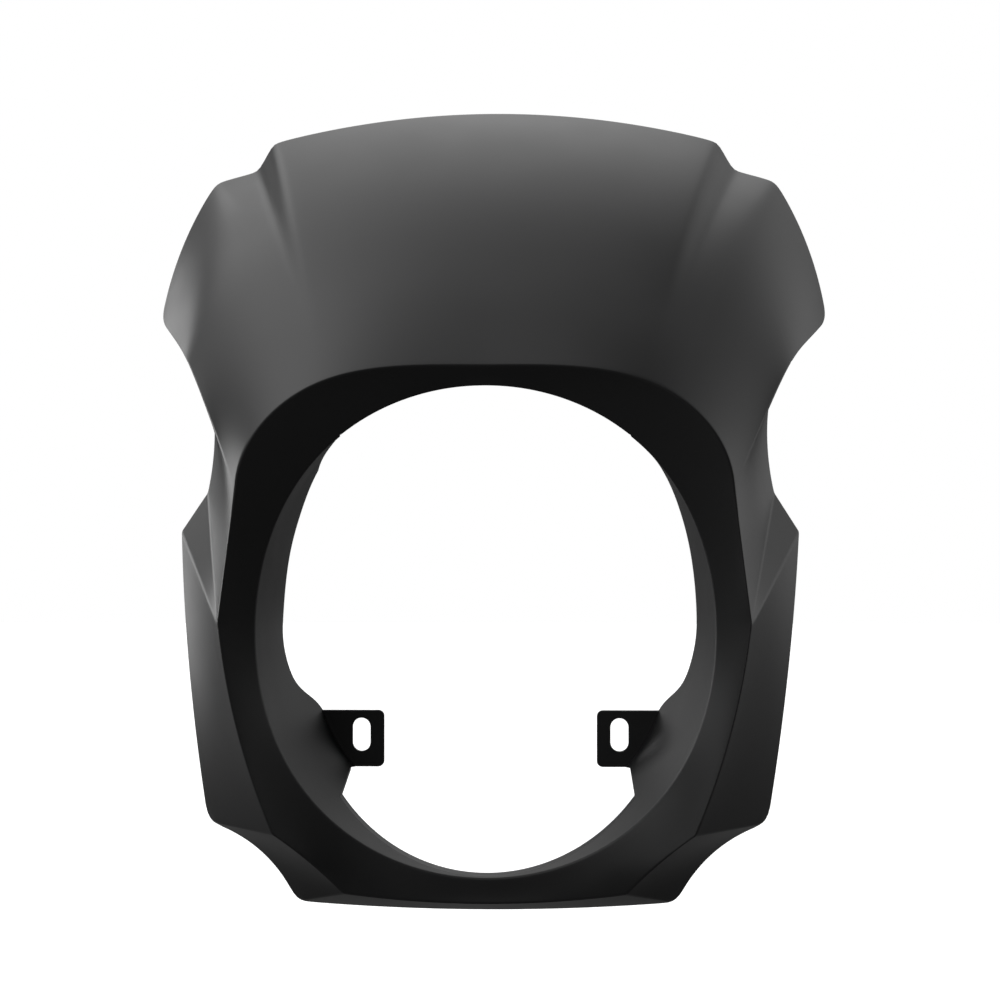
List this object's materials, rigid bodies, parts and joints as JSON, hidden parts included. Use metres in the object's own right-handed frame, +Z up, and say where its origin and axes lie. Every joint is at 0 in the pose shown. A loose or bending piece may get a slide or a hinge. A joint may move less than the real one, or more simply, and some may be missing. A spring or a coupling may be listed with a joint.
{
  "type": "motorbike headlight cowl",
  "caption": "One-piece moulded headlight cowl with a folded front ridge, an upright screen shield and two slotted fixing tabs.",
  "frame": {"origin": "centre of the round headlight opening, in the plane of its edge", "axes": "+Z up, the lamp looks along -Y, +X to the right when seen from the front"},
  "size_m": [0.265, 0.1293, 0.3118],
  "materials": {
    "shell": "unpainted satin black moulding"
  },
  "bodies": {
    "root": {"headlight_cowl": "shell"}
  },
  "joints": []
}
